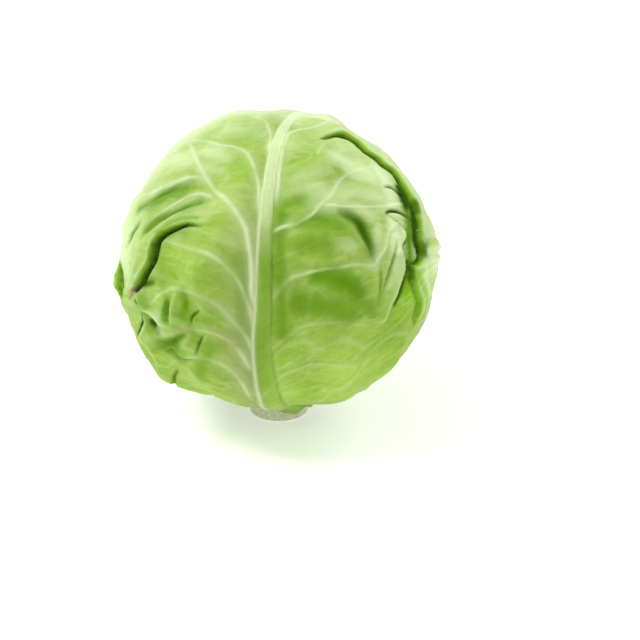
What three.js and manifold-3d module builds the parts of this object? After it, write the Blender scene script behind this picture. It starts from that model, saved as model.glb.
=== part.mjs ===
// A green cabbage: a dense head of packed leaves on a cut stem, wrapped in eight large outer leaves.
// Millimetres, +Z up. The origin is the middle of the cut face of the stem, which the head stands on.
// Every leaf is a curved blade laid over the leaves beneath it. A place on the head is a direction from
// its centre, and a leaf's own coordinates are the angle along its midrib, up from the bottom of the
// head, and the angle sideways from the midrib.
import * as THREE from 'three';
import { mergeVertices } from 'three/addons/utils/BufferGeometryUtils.js';
import Module from 'manifold-3d';

const wasm = await Module();
wasm.setup();

// The inner head: its half heights above and below its middle, and how full each half is, 2 being elliptic
const CENTRE_HEIGHT = 89;
const INNER_RADIUS = 76;
const UPPER_HALF_HEIGHT = 68.5;
const LOWER_HALF_HEIGHT = 61;
const UPPER_FULLNESS = 2.12;
const LOWER_FULLNESS = 2.5;

// The cut stem, and the gap round it
const STEM_RADIUS = 17;
const STEM_TOP = 30;
const STEM_TOP_RADIUS = 14;
const STEM_CHAMFER = 1.2;
const STEM_SIDES = 28;
const SOCKET_GAP = 0.6;
const SOCKET_BELOW = 10;

// A leaf's blade, the gap under it and the room that its veins need: together, one layer of the head
const BLADE = 1.0;
const CLEARANCE = 1.35;
const RELIEF = 1.3;
const LAYER = BLADE + CLEARANCE + RELIEF;

// How far past a leaf's edge, as a share of its spread, the leaves above still sink back
const DRAPE = 0.36;

// Midrib at the stem and at the tip, and how many times its width the leaves above it are raised
const RIB_BASE = { halfWidth: 12, height: 3.8 };
const RIB_TIP = { halfWidth: 3.2, height: 0.4 };
const OUTERMOST_RIB_TIP = { halfWidth: 4, height: 1.6 };
const RIB_SHADOW = 2.2;

// Side veins: their ridge, the swelling between them, where the first leaves the midrib and the length
// that they share, and how strongly they sweep up, 1 being none
const VEIN_HEIGHT = 1.2;
const VEIN_HALF_WIDTH = 3.6;
const BULGE = 0.6;
const FIRST_VEIN = 0.1;
const VEIN_REACH = 0.74;
const SWEEP = 0.7;

// A leaf's outline: the angle from the bottom where it starts, and its width near base and tip as a share
// of its full width
const BASE_ANGLE = 9;
const NARROW_BASE = 0.54;
const NARROW_TIP = 0.68;
const OUTERMOST_NARROW_BASE = 0.72;
const OUTERMOST_NARROW_TIP = 0.95;

// How full the corners of the outermost leaf are towards its tip, 2 being round
const OUTERMOST_TIP_FULLNESS = 2.8;

// The rows of a blade's grid nearest the base and tip, as shares of its length
const FIRST_ROW = 0.012;
const LAST_ROW = 0.985;

// Each leaf, from the outermost in: the azimuth of its midrib round the head, 0 facing -Y and growing
// towards +X, the lean of its midrib, the angle that its tip reaches, its half spread to left and right,
// its side veins on each side, the waves of its edge and how far they flare, and how loosely it lies.
const LEAVES = [
  { azimuth: -7, lean: 5, reach: 212, left: 68, right: 80, veins: 6, waves: 7, flare: 2.2, loose: 1.4 },
  { azimuth: -144, lean: -4, reach: 190, left: 66, right: 66, veins: 5, waves: 8, flare: 3.4, loose: 0.5 },
  { azimuth: 84, lean: 4, reach: 180, left: 62, right: 66, veins: 5, waves: 9, flare: 3.0, loose: 0.2 },
  { azimuth: -63, lean: 3, reach: 168, left: 63, right: 63, veins: 4, waves: 7, flare: 1.2, loose: 0.1 },
  { azimuth: 162, lean: -3, reach: 172, left: 64, right: 64, veins: 4, waves: 8, flare: 2.0, loose: 0 },
  { azimuth: 25, lean: 0, reach: 158, left: 60, right: 60, veins: 4, waves: 7, flare: 0.8, loose: 0 },
  { azimuth: -112, lean: 2, reach: 156, left: 60, right: 60, veins: 4, waves: 7, flare: 0.8, loose: 0 },
  { azimuth: 110, lean: -2, reach: 150, left: 58, right: 58, veins: 4, waves: 7, flare: 0.8, loose: 0 },
];

// Folds of the outermost leaf: a path of [along, sideways] angles, how high the side to its left stands
// at the start and end of the path, and how far that lift spreads.
const FOLDS = [
  {
    path: [[65, 66], [97, 66], [125, 67], [155, 67], [180, 59], [188, 36], [178, 23]],
    lift: [3.4, 1.6],
    spread: 30,
  },
  { path: [[131, -20], [128, -40], [113, -50], [101, -54]], lift: [0.8, 3.6], spread: 26 },
];

// How far past a fold its low side starts.
const FOLD_DROP = 9;

const STEM_COLOUR = 0xdfe3bd;
const INNER_COLOUR = 0xb9d67c;
const OUTER_COLOUR = 0x8fb648;

const rad = THREE.MathUtils.degToRad;
const deg = THREE.MathUtils.radToDeg;
const smoothstep = THREE.MathUtils.smoothstep;
const lerp = THREE.MathUtils.lerp;

// The leaf's own directions: out through the middle of the midrib, up along it and sideways to its right.
function leafFrame(leaf) {
  const turn = rad(leaf.azimuth);
  const out = new THREE.Vector3(Math.sin(turn), -Math.cos(turn), 0);
  const side = new THREE.Vector3(Math.cos(turn), Math.sin(turn), 0);
  const up = new THREE.Vector3(0, 0, 1);
  const lean = new THREE.Quaternion().setFromAxisAngle(out, rad(leaf.lean));
  return { out, side: side.applyQuaternion(lean), up: up.applyQuaternion(lean) };
}

LEAVES.forEach((leaf, order) => {
  leaf.order = order;
  leaf.frame = leafFrame(leaf);
  leaf.middle = (BASE_ANGLE + leaf.reach) / 2;
  leaf.half = (leaf.reach - BASE_ANGLE) / 2;
});

// Direction from the centre of the head at an angle along the midrib and an angle sideways.
function directionAt(leaf, along, sideways) {
  const { out, side, up } = leaf.frame;
  const a = rad(along);
  const s = rad(sideways);
  return new THREE.Vector3()
    .addScaledVector(out, Math.cos(s) * Math.sin(a))
    .addScaledVector(up, -Math.cos(s) * Math.cos(a))
    .addScaledVector(side, Math.sin(s));
}

// The angles along and sideways of a direction, in a leaf's own coordinates.
function anglesOf(leaf, direction) {
  const { out, side, up } = leaf.frame;
  const sideways = deg(Math.asin(THREE.MathUtils.clamp(direction.dot(side), -1, 1)));
  let along = deg(Math.atan2(direction.dot(out), -direction.dot(up)));
  if (along < leaf.middle - 180) along += 360;
  return { along, sideways };
}

// Half the leaf's spread in degrees where u runs from -1 at the base to 1 at the tip.
function halfSpread(leaf, u, sign) {
  const most = sign < 0 ? leaf.left : leaf.right;
  const widestBase = leaf.order === 0 ? OUTERMOST_NARROW_BASE : NARROW_BASE;
  const base = lerp(widestBase, 1, smoothstep(u, -1, -0.1));
  const narrowest = leaf.order === 0 ? OUTERMOST_NARROW_TIP : NARROW_TIP;
  const tip = lerp(1, narrowest, smoothstep(u, 0.1, 1));
  return most * base * tip;
}

// Reach of the plain outline: round, but with fuller corners towards the outermost leaf's tip.
function plainReach(leaf, turn) {
  if (leaf.order > 0) return 1;
  const power = lerp(2, OUTERMOST_TIP_FULLNESS, smoothstep(Math.cos(turn), 0, 0.3));
  return (Math.abs(Math.cos(turn)) ** power + Math.abs(Math.sin(turn)) ** power) ** (-1 / power);
}

// Reach of the waved edge from the middle of the leaf.
function edgeOf(leaf, turn) {
  const phase = leaf.order * 1.7;
  const waves = 0.022 * Math.sin(leaf.waves * turn + phase) + 0.012 * Math.sin(2.3 * leaf.waves * turn - phase);
  return plainReach(leaf, turn) * (1 + waves);
}

// Leaf coordinates u, v with the outline at distance 1.
function leafPlace(leaf, along, sideways) {
  const u = (along - leaf.middle) / leaf.half;
  const v = sideways / halfSpread(leaf, THREE.MathUtils.clamp(u, -1, 1), sideways);
  const turn = Math.atan2(v, u);
  return { u, v, turn, distance: Math.hypot(u, v) / edgeOf(leaf, turn) };
}

// 1 inside the leaf's outline, falling to 0 outside it.
function cover(leaf, direction, start = 1) {
  const { along, sideways } = anglesOf(leaf, direction);
  return 1 - smoothstep(leafPlace(leaf, along, sideways).distance, start, start + DRAPE);
}

// Half width and height of a leaf's midrib at a share of its length.
function ribAt(leaf, share) {
  const tip = leaf.order === 0 ? OUTERMOST_RIB_TIP : RIB_TIP;
  const t = 1 - THREE.MathUtils.clamp(share, 0, 1);
  return {
    halfWidth: lerp(tip.halfWidth, RIB_BASE.halfWidth, t ** 1.6),
    height: lerp(tip.height, RIB_BASE.height, t ** 1.8),
  };
}

// Height of a round ridge as wide as twice halfWidth at a distance from its crest.
function ridge(distance, halfWidth, height) {
  const x = Math.min(Math.abs(distance) / halfWidth, 1);
  return height * (1 - x * x);
}

// How much a leaf lifts what lies over it.
function thicknessUnder(leaf, direction) {
  const { along, sideways } = anglesOf(leaf, direction);
  const rib = ribAt(leaf, (along - BASE_ANGLE) / (leaf.reach - BASE_ANGLE));
  const aside = rad(sideways) * INNER_RADIUS;
  return cover(leaf, direction) * (LAYER + ridge(aside, rib.halfWidth * RIB_SHADOW, rib.height));
}

// Height of a leaf's inner face above the inner head.
function layHeight(leaf, direction) {
  let height = CLEARANCE + leaf.loose;
  for (const under of LEAVES.slice(leaf.order + 1)) height += thicknessUnder(under, direction);
  return height;
}

// Point on the inner head's round surface, and its outward normal. The head is fuller than an ellipsoid,
// most of all below its middle, where the leaves' thick bases make up its round bottom.
function surfaceAt(direction) {
  const below = direction.z < 0;
  const halfHeight = below ? LOWER_HALF_HEIGHT : UPPER_HALF_HEIGHT;
  const power = below ? LOWER_FULLNESS : UPPER_FULLNESS;
  const across = Math.hypot(direction.x, direction.y);
  const flat = across / INNER_RADIUS;
  const tall = Math.abs(direction.z) / halfHeight;
  const reach = (flat ** power + tall ** power) ** (-1 / power);
  const slope = across > 0 ? flat ** (power - 1) / INNER_RADIUS / across : 0;
  return {
    point: direction.clone().multiplyScalar(reach).setZ(CENTRE_HEIGHT + direction.z * reach),
    normal: new THREE.Vector3(
      direction.x * slope,
      direction.y * slope,
      Math.sign(direction.z) * tall ** (power - 1) / halfHeight,
    ).normalize(),
  };
}

// Lift of the outermost leaf beside its folds.
function foldLift(along, sideways) {
  let lift = 0;
  for (const fold of FOLDS) {
    const place = nearestOnPath(fold.path, along, sideways);
    const height = lerp(fold.lift[0], fold.lift[1], place.share);
    const distance = rad(place.distance) * INNER_RADIUS;
    const fade = place.left ? Math.exp(-distance / fold.spread) : 1 - smoothstep(distance, 0, FOLD_DROP);
    lift += height * fade;
  }
  return lift;
}

// Distance from a path in degrees, the share of the path passed, and whether the point is on its left.
function nearestOnPath(path, along, sideways) {
  const squeeze = Math.cos(rad(sideways));
  let best = { distance: Infinity, share: 0, left: false };
  for (let i = 0; i + 1 < path.length; i++) {
    const [a0, s0] = path[i];
    const [a1, s1] = path[i + 1];
    const da = (a1 - a0) * squeeze;
    const ds = s1 - s0;
    const pa = (along - a0) * squeeze;
    const ps = sideways - s0;
    const t = THREE.MathUtils.clamp((pa * da + ps * ds) / (da * da + ds * ds), 0, 1);
    const distance = Math.hypot(pa - t * da, ps - t * ds);
    if (distance < best.distance) {
      best = { distance, share: (i + t) / (path.length - 1), left: pa * ds - ps * da < 0 };
    }
  }
  return best;
}

// Places of the rows along one side of a leaf, as shares of its length: beside, on and past each vein's
// crest, and between it and the next vein. Veins leave the midrib by turns, so the right side's come half
// a step later.
function rowShares(leaf, sign) {
  const step = VEIN_REACH / leaf.veins;
  const first = FIRST_VEIN + (sign < 0 ? 0 : step / 2);
  const beside = VEIN_HALF_WIDTH / (rad(2 * leaf.half) * (INNER_RADIUS + LAYER));
  const rows = [
    { share: FIRST_ROW, kind: 'end' },
    { share: first * 0.35, kind: 'between' },
    { share: first * 0.65, kind: 'between' },
  ];
  for (let k = 0; k < leaf.veins; k++) {
    const crest = first + k * step;
    rows.push({ share: crest - beside, kind: 'foot' });
    rows.push({ share: crest, kind: 'crest' });
    rows.push({ share: crest + beside, kind: 'foot' });
    rows.push({ share: crest + 0.38 * step, kind: 'between' });
    rows.push({ share: crest + 0.62 * step, kind: 'between' });
  }
  const last = rows[rows.length - 1].share;
  for (const t of [0.33, 0.66, 1]) rows.push({ share: lerp(last, LAST_ROW, t), kind: 'end' });
  return rows;
}

// Leaf coordinates of the point at a share of the length and a share of the way from the midrib to the
// edge. The rows rise towards the edge, as the side veins do.
function onRow(share, sidewaysShare, sign) {
  const turn = Math.PI * (1 - share ** SWEEP);
  const bow = 0.056 * Math.sin(Math.PI * share) * Math.sin(Math.PI * sidewaysShare);
  return {
    u: lerp(2 * share - 1, Math.cos(turn), sidewaysShare) + bow,
    v: sign * Math.sin(turn) * sidewaysShare,
  };
}

// Columns from the midrib's crest to the edge: the midrib's crest, shoulder and foot, and then shares of
// the way from its foot to the edge.
const COLUMNS = ['crest', 'shoulder', 'foot', 0.2, 0.4, 0.6, 0.8, 1];

// Angles of a grid corner, and how far it rises above the plain blade.
function cornerOf(leaf, rowLeft, rowRight, column, sign) {
  const row = sign < 0 ? rowLeft : rowRight;
  const ribShare = (rowLeft.share + rowRight.share) / 2;
  const rib = ribAt(leaf, ribShare);
  const rowWidth = Math.sin(Math.PI * (1 - ribShare ** SWEEP)) * halfSpread(leaf, 2 * ribShare - 1, sign);
  const foot = Math.min(deg(rib.halfWidth / INNER_RADIUS) / rowWidth, 0.4);
  const onRib = { crest: 0, shoulder: 0.5, foot: 1 }[column];
  const sidewaysShare = onRib === undefined ? lerp(foot, 1, column) : foot * onRib;
  const share = onRib === undefined ? lerp(ribShare, row.share, smoothstep(column, 0, 0.5)) : ribShare;
  const place = onRow(share, sidewaysShare, sign);
  const stretch = lerp(1, edgeOf(leaf, Math.atan2(place.v, place.u)), Math.hypot(place.u, place.v) ** 2);
  const u = place.u * stretch;
  let rise = 0;
  if (onRib !== undefined) rise = ridge(onRib, 1, rib.height);
  else if (row.kind === 'crest') rise = VEIN_HEIGHT * (1 - 0.6 * column);
  else if (row.kind === 'between') rise = BULGE * Math.sin(Math.PI * column);
  return {
    along: leaf.middle + leaf.half * u,
    sideways: place.v * stretch * halfSpread(leaf, u, sign),
    rise,
  };
}

// A blade with alike grids of corners on its outer and inner face, joined round its edge.
function bladeGeometry(leaf) {
  const left = rowShares(leaf, -1);
  const right = rowShares(leaf, 1);
  const columns = [
    ...COLUMNS.slice(1).reverse().map((c) => [c, -1]),
    ...COLUMNS.map((c) => [c, 1]),
  ];
  const rows = left.length;
  const across = columns.length;
  const positions = [];
  for (const outer of [true, false]) {
    for (let i = 0; i < rows; i++) {
      for (const [column, sign] of columns) {
        const corner = cornerOf(leaf, left[i], right[i], column, sign);
        const direction = directionAt(leaf, corner.along, corner.sideways);
        const { point, normal } = surfaceAt(direction);
        const inner = layHeight(leaf, direction) + edgeLift(leaf, direction);
        const height = outer ? inner + BLADE + corner.rise : inner;
        point.addScaledVector(normal, height);
        positions.push(point.x, point.y, point.z);
      }
    }
  }
  const index = [];
  const quad = (a, b, c, d) => index.push(a, b, c, a, c, d);
  const at = (face, i, j) => (face * rows + i) * across + j;
  for (let i = 0; i + 1 < rows; i++) {
    for (let j = 0; j + 1 < across; j++) {
      quad(at(0, i, j), at(0, i, j + 1), at(0, i + 1, j + 1), at(0, i + 1, j));
      index.push(at(1, i, j), at(1, i + 1, j + 1), at(1, i, j + 1));
      index.push(at(1, i, j), at(1, i + 1, j), at(1, i + 1, j + 1));
    }
  }
  for (let i = 0; i + 1 < rows; i++) {
    quad(at(0, i, 0), at(0, i + 1, 0), at(1, i + 1, 0), at(1, i, 0));
    quad(at(1, i, across - 1), at(1, i + 1, across - 1), at(0, i + 1, across - 1), at(0, i, across - 1));
  }
  for (let j = 0; j + 1 < across; j++) {
    quad(at(1, 0, j), at(1, 0, j + 1), at(0, 0, j + 1), at(0, 0, j));
    quad(at(0, rows - 1, j), at(0, rows - 1, j + 1), at(1, rows - 1, j + 1), at(1, rows - 1, j));
  }
  const geometry = new THREE.BufferGeometry();
  geometry.setAttribute('position', new THREE.Float32BufferAttribute(positions, 3));
  geometry.setIndex(index);
  return geometry;
}

// Lift of a leaf's free edge, where no other leaf lies over it.
function edgeLift(leaf, direction) {
  const { along, sideways } = anglesOf(leaf, direction);
  const { turn, distance } = leafPlace(leaf, along, sideways);
  let free = 1;
  for (const over of LEAVES.slice(0, leaf.order)) free = Math.min(free, 1 - cover(over, direction, 1.3));
  const wave = 0.55 + 0.45 * Math.sin(leaf.waves * 1.4 * turn + leaf.order);
  let lift = leaf.flare * wave * smoothstep(distance, 0.72, 1) * smoothstep(along, 30, 60) * free;
  if (leaf.order === 0) lift += foldLift(along, sideways);
  return lift;
}

// The packed inner leaves: a round body whose three outermost leaves show as low steps at the crown.
const INNER_STEPS = [
  { azimuth: 60, reach: 208, spread: 74 },
  { azimuth: 197, reach: 204, spread: 70 },
  { azimuth: -45, reach: 196, spread: 66 },
];
const STEP_HEIGHT = 0.9;

function innerHeadGeometry() {
  const geometry = new THREE.SphereGeometry(1, 36, 20);
  geometry.rotateX(Math.PI / 2);
  const position = geometry.getAttribute('position');
  const direction = new THREE.Vector3();
  for (let i = 0; i < position.count; i++) {
    direction.fromBufferAttribute(position, i).normalize();
    const { point, normal } = surfaceAt(direction);
    let sink = STEP_HEIGHT * INNER_STEPS.length;
    for (const step of INNER_STEPS) {
      const plain = { azimuth: step.azimuth, lean: 0 };
      plain.frame = leafFrame(plain);
      plain.middle = step.reach / 2;
      const { along, sideways } = anglesOf(plain, direction);
      const distance = Math.hypot((along - plain.middle) / (step.reach / 2), sideways / step.spread);
      sink -= STEP_HEIGHT * (1 - smoothstep(distance, 0.95, 1.05));
    }
    point.addScaledVector(normal, -sink);
    position.setXYZ(i, point.x, point.y, point.z);
  }
  return geometry;
}

// The cut stem: a short tapering post, its cut face at the origin.
function stemGeometry() {
  const profile = [
    new THREE.Vector2(0, 0),
    new THREE.Vector2(STEM_RADIUS - STEM_CHAMFER, 0),
    new THREE.Vector2(STEM_RADIUS, STEM_CHAMFER),
    new THREE.Vector2(STEM_TOP_RADIUS, STEM_TOP),
    new THREE.Vector2(0, STEM_TOP),
  ];
  return new THREE.LatheGeometry(profile, STEM_SIDES).rotateX(Math.PI / 2);
}

// A closed geometry as a manifold solid.
function solidOf(geometry) {
  const bare = geometry.clone();
  bare.deleteAttribute('normal');
  bare.deleteAttribute('uv');
  const merged = mergeVertices(bare, 1e-4);
  return new wasm.Manifold(
    new wasm.Mesh({
      numProp: 3,
      vertProperties: merged.attributes.position.array,
      triVerts: new Uint32Array(merged.index.array),
    }),
  );
}

function geometryOf(solid) {
  const mesh = solid.getMesh();
  const geometry = new THREE.BufferGeometry();
  geometry.setAttribute('position', new THREE.BufferAttribute(mesh.vertProperties, 3));
  geometry.setIndex(new THREE.BufferAttribute(mesh.triVerts, 1));
  geometry.computeVertexNormals();
  return geometry;
}

// The hole in which the stem stands, a little wider than the stem.
const socketHeight = STEM_TOP + SOCKET_BELOW;
const socket = solidOf(
  new THREE.CylinderGeometry(STEM_RADIUS + SOCKET_GAP, STEM_RADIUS + SOCKET_GAP, socketHeight, STEM_SIDES)
    .rotateX(Math.PI / 2)
    .translate(0, 0, STEM_TOP + SOCKET_GAP - socketHeight / 2),
);

function meshOf(name, geometry, colour, roughness) {
  const material = new THREE.MeshStandardMaterial({ color: colour, roughness, metalness: 0 });
  const mesh = new THREE.Mesh(geometry, material);
  mesh.name = name;
  return mesh;
}

const cabbage = new THREE.Group();
cabbage.add(meshOf('stem', stemGeometry(), STEM_COLOUR, 0.7));
const innerHead = solidOf(innerHeadGeometry()).subtract(socket);
cabbage.add(meshOf('inner_head', geometryOf(innerHead), INNER_COLOUR, 0.5));
for (const leaf of LEAVES) {
  const solid = solidOf(bladeGeometry(leaf)).subtract(socket);
  cabbage.add(meshOf(`wrapper_leaf_${leaf.order + 1}`, geometryOf(solid), OUTER_COLOUR, 0.5));
}

export default cabbage;
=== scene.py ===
import math

import bpy
import numpy as np
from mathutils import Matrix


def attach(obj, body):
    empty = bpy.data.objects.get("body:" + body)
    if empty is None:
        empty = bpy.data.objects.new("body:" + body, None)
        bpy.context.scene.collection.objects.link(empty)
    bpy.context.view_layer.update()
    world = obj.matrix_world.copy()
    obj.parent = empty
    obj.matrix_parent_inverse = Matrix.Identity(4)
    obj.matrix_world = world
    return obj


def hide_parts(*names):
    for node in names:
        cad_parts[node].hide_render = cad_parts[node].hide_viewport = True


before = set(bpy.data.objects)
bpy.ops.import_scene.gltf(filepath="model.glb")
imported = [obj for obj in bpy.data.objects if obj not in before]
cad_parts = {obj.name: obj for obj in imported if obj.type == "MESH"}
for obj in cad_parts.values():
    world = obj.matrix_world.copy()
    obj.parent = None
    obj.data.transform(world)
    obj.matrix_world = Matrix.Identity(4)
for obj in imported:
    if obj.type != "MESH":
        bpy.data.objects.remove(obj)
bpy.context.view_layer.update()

# A green cabbage on its cut stem. Shapes are worked out in millimetres and written in metres.
MM = 0.001

# The photograph's frame and viewing angle. Pixels given below are in this frame.
PHOTO_SIZE = 640
HEAD_PIXEL = (278, 267)
ELEVATION = math.radians(24)
DISTANCE = 1200.0
LENS = 120.0
SENSOR = 36.0

# The inner head, round above its middle and fuller below it
CENTRE = np.array([0.0, 0.0, 89.0])
INNER_RADIUS = 76.0
UPPER_HALF_HEIGHT = 68.5
LOWER_HALF_HEIGHT = 61.0
UPPER_FULLNESS = 2.12
LOWER_FULLNESS = 2.5
OUTER_RADIUS = 88.0
STEM_ANGLE = 16.0
OPEN_ANGLE = 30.0

# The cut stem
STEM_RADIUS = 17.0
STEM_TOP = 30.0
STEM_TOP_RADIUS = 14.0

# One layer of the head: blade, gap and room for veins
BLADE = 1.0
CLEARANCE = 1.35
RELIEF = 1.3
LAYER = BLADE + CLEARANCE + RELIEF
DRAPE = 0.36
RIB_SHADOW = 2.2
BASE_ANGLE = 9.0
NARROW_BASE = 0.54
NARROW_TIP = 0.68
OUTERMOST_NARROW_BASE = 0.72
OUTERMOST_NARROW_TIP = 0.95
OUTERMOST_TIP_FULLNESS = 2.8

# Each leaf, from the outermost in: azimuth and lean of its midrib, the angle that its tip reaches, its spread to
# left and right, its side veins on each side, the waves of its edge and how far they flare, and how loosely it lies
LEAVES = [
    dict(azimuth=-7, lean=5, reach=212, left=68, right=80, veins=6, waves=7, flare=2.2, loose=1.4),
    dict(azimuth=-144, lean=-4, reach=190, left=66, right=66, veins=5, waves=8, flare=3.4, loose=0.5),
    dict(azimuth=84, lean=4, reach=180, left=62, right=66, veins=5, waves=9, flare=3.0, loose=0.2),
    dict(azimuth=-63, lean=3, reach=168, left=63, right=63, veins=4, waves=7, flare=1.2, loose=0.1),
    dict(azimuth=162, lean=-3, reach=172, left=64, right=64, veins=4, waves=8, flare=2.0, loose=0.0),
    dict(azimuth=25, lean=0, reach=158, left=60, right=60, veins=4, waves=7, flare=0.8, loose=0.0),
    dict(azimuth=-112, lean=2, reach=156, left=60, right=60, veins=4, waves=7, flare=0.8, loose=0.0),
    dict(azimuth=110, lean=-2, reach=150, left=58, right=58, veins=4, waves=7, flare=0.8, loose=0.0),
]

# The outermost leaf's midrib, as pixels of the photograph
RIB_PIXELS = [(262, 352), (263, 310), (264, 268), (266, 225), (269, 190), (274, 158), (281, 135), (291, 120), (303, 113)]
# Its side veins: height and half width at the start in millimetres, paleness, and the path in pixels
VEINS = [
    (1.5, 2.1, 0.85, [(255, 310), (252, 284), (250, 256), (247, 237), (236, 215), (221, 197), (206, 182), (196, 163),
                      (187, 145)]),
    (0.9, 1.3, 0.75, [(206, 182), (196, 179), (184, 180), (172, 184), (161, 189), (151, 193), (139, 198)]),
    (0.9, 1.2, 0.65, [(214, 196), (199, 195), (188, 197), (176, 203), (164, 211), (154, 218), (145, 228)]),
    (1.1, 1.5, 0.85, [(260, 225), (259, 200), (257, 181), (252, 167), (242, 153), (229, 146), (212, 144), (185, 144)]),
    (1.0, 1.3, 0.75, [(268, 160), (271, 138), (264, 121), (253, 116), (236, 113)]),
    (1.0, 1.8, 0.62, [(254, 330), (249, 304), (239, 284), (221, 263), (210, 256), (191, 250), (166, 241)]),
    (1.0, 1.8, 0.6, [(253, 352), (249, 337), (240, 326), (225, 311), (212, 301), (191, 292), (176, 289), (163, 294),
                     (150, 303), (138, 299)]),
    (0.9, 1.8, 0.55, [(252, 370), (244, 356), (236, 346), (223, 336), (202, 331), (182, 326)]),
    (0.9, 1.6, 0.5, [(252, 398), (238, 376), (213, 361), (190, 358), (166, 366)]),
    (1.2, 1.6, 0.9, [(276, 205), (278, 180), (281, 161), (285, 143), (291, 134), (304, 129), (325, 125), (346, 126),
                     (360, 131)]),
    (1.0, 1.7, 0.72, [(268, 236), (281, 228), (296, 224), (311, 216), (321, 207), (332, 198), (338, 187), (347, 178),
                      (362, 171), (376, 169)]),
    (0.8, 1.2, 0.75, [(321, 208), (345, 208), (366, 209), (385, 208), (402, 205)]),
    (1.0, 1.6, 0.7, [(270, 300), (281, 289), (291, 279), (306, 272), (323, 269), (345, 268), (362, 266), (376, 265)]),
    (1.2, 1.1, 0.85, [(375, 265), (380, 258), (386, 248), (390, 235), (397, 222)]),
    (0.8, 1.4, 0.4, [(268, 352), (294, 331), (315, 324), (341, 322), (368, 326)]),
    (0.8, 1.5, 0.4, [(262, 392), (282, 374), (306, 366), (332, 364), (355, 368)]),
    (0.5, 1.2, 0.5, [(318, 158), (326, 147), (336, 141)]),
    (0.4, 1.0, 0.3, [(300, 282), (318, 290), (334, 304)]),
    (0.4, 1.0, 0.4, [(150, 173), (170, 165), (188, 161)]),
    (0.4, 0.9, 0.35, [(142, 187), (160, 178), (184, 172)]),
]


def smoothstep(x, low, high):
    t = np.clip((x - low) / (high - low), 0, 1)
    return t * t * (3 - 2 * t)


def unit(v):
    return v / np.linalg.norm(v, axis=-1, keepdims=True)


def lattice_noise(points, cell, seed):
    """Smooth noise from -1 to 1 at points in millimetres, with bumps about one cell across."""
    table = np.random.default_rng(seed).uniform(-1, 1, (32, 32, 32))
    scaled = points / cell + 512.37
    low = np.floor(scaled).astype(int)
    f = scaled - low
    f = f * f * (3 - 2 * f)
    total = np.zeros(len(points))
    for dx in (0, 1):
        for dy in (0, 1):
            for dz in (0, 1):
                weight = np.ones(len(points))
                for axis, step in enumerate((dx, dy, dz)):
                    weight = weight * (f[:, axis] if step else 1 - f[:, axis])
                at = (low + (dx, dy, dz)) % 32
                total += weight * table[at[:, 0], at[:, 1], at[:, 2]]
    return total


# Leaf coordinates: the angle along the midrib, up from the bottom of the head, and the angle sideways from it
def leaf_frame(leaf):
    turn = math.radians(leaf["azimuth"])
    lean = math.radians(leaf["lean"])
    out = np.array([math.sin(turn), -math.cos(turn), 0.0])
    side = np.array([math.cos(turn), math.sin(turn), 0.0])
    up = np.array([0.0, 0.0, 1.0])
    leaned_side = side * math.cos(lean) + np.cross(out, side) * math.sin(lean)
    leaned_up = up * math.cos(lean) + np.cross(out, up) * math.sin(lean)
    return out, leaned_side, leaned_up


for order, leaf in enumerate(LEAVES):
    leaf["order"] = order
    leaf["frame"] = leaf_frame(leaf)
    leaf["middle"] = (BASE_ANGLE + leaf["reach"]) / 2
    leaf["half"] = (leaf["reach"] - BASE_ANGLE) / 2


def direction_at(leaf, along, sideways):
    out, side, up = leaf["frame"]
    a = np.radians(along)[..., None]
    s = np.radians(sideways)[..., None]
    return np.cos(s) * (np.sin(a) * out - np.cos(a) * up) + np.sin(s) * side


def angles_of(leaf, direction):
    out, side, up = leaf["frame"]
    sideways = np.degrees(np.arcsin(np.clip(direction @ side, -1, 1)))
    along = np.degrees(np.arctan2(direction @ out, -(direction @ up)))
    return np.where(along < leaf["middle"] - 180, along + 360, along), sideways


def half_spread(leaf, u, sign):
    most = np.where(sign < 0, leaf["left"], leaf["right"])
    least = OUTERMOST_NARROW_BASE if leaf["order"] == 0 else NARROW_BASE
    base = least + (1 - least) * smoothstep(u, -1, -0.1)
    narrowest = OUTERMOST_NARROW_TIP if leaf["order"] == 0 else NARROW_TIP
    tip = 1 + (narrowest - 1) * smoothstep(u, 0.1, 1)
    return most * base * tip


def edge_of(leaf, turn):
    """Reach of the waved edge. The outermost leaf has fuller corners towards its tip."""
    phase = leaf["order"] * 1.7
    waves = leaf["waves"]
    coarse = 0.022 * np.sin(waves * turn + phase) + 0.012 * np.sin(2.3 * waves * turn - phase)
    fine = 0.006 * np.sin(5.1 * waves * turn + 2 * phase) + 0.004 * np.sin(8.7 * waves * turn)
    plain = 1.0
    if leaf["order"] == 0:
        power = 2 + (OUTERMOST_TIP_FULLNESS - 2) * smoothstep(np.cos(turn), 0, 0.3)
        plain = (np.abs(np.cos(turn)) ** power + np.abs(np.sin(turn)) ** power) ** (-1 / power)
    return plain * (1 + coarse + fine)


def leaf_place(leaf, along, sideways):
    u = (along - leaf["middle"]) / leaf["half"]
    v = sideways / half_spread(leaf, np.clip(u, -1, 1), sideways)
    turn = np.arctan2(v, u)
    return turn, np.hypot(u, v) / edge_of(leaf, turn)


def cover(leaf, direction, start=1.0):
    """1 inside the leaf's outline, falling to 0 outside it."""
    _, distance = leaf_place(leaf, *angles_of(leaf, direction))
    return 1 - smoothstep(distance, start, start + DRAPE)


def rib_at(leaf, share):
    tip_width, tip_height = (4.0, 1.6) if leaf["order"] == 0 else (3.2, 0.4)
    t = 1 - np.clip(share, 0, 1)
    return tip_width + (12 - tip_width) * t ** 1.6, tip_height + (3.8 - tip_height) * t ** 1.8


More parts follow.
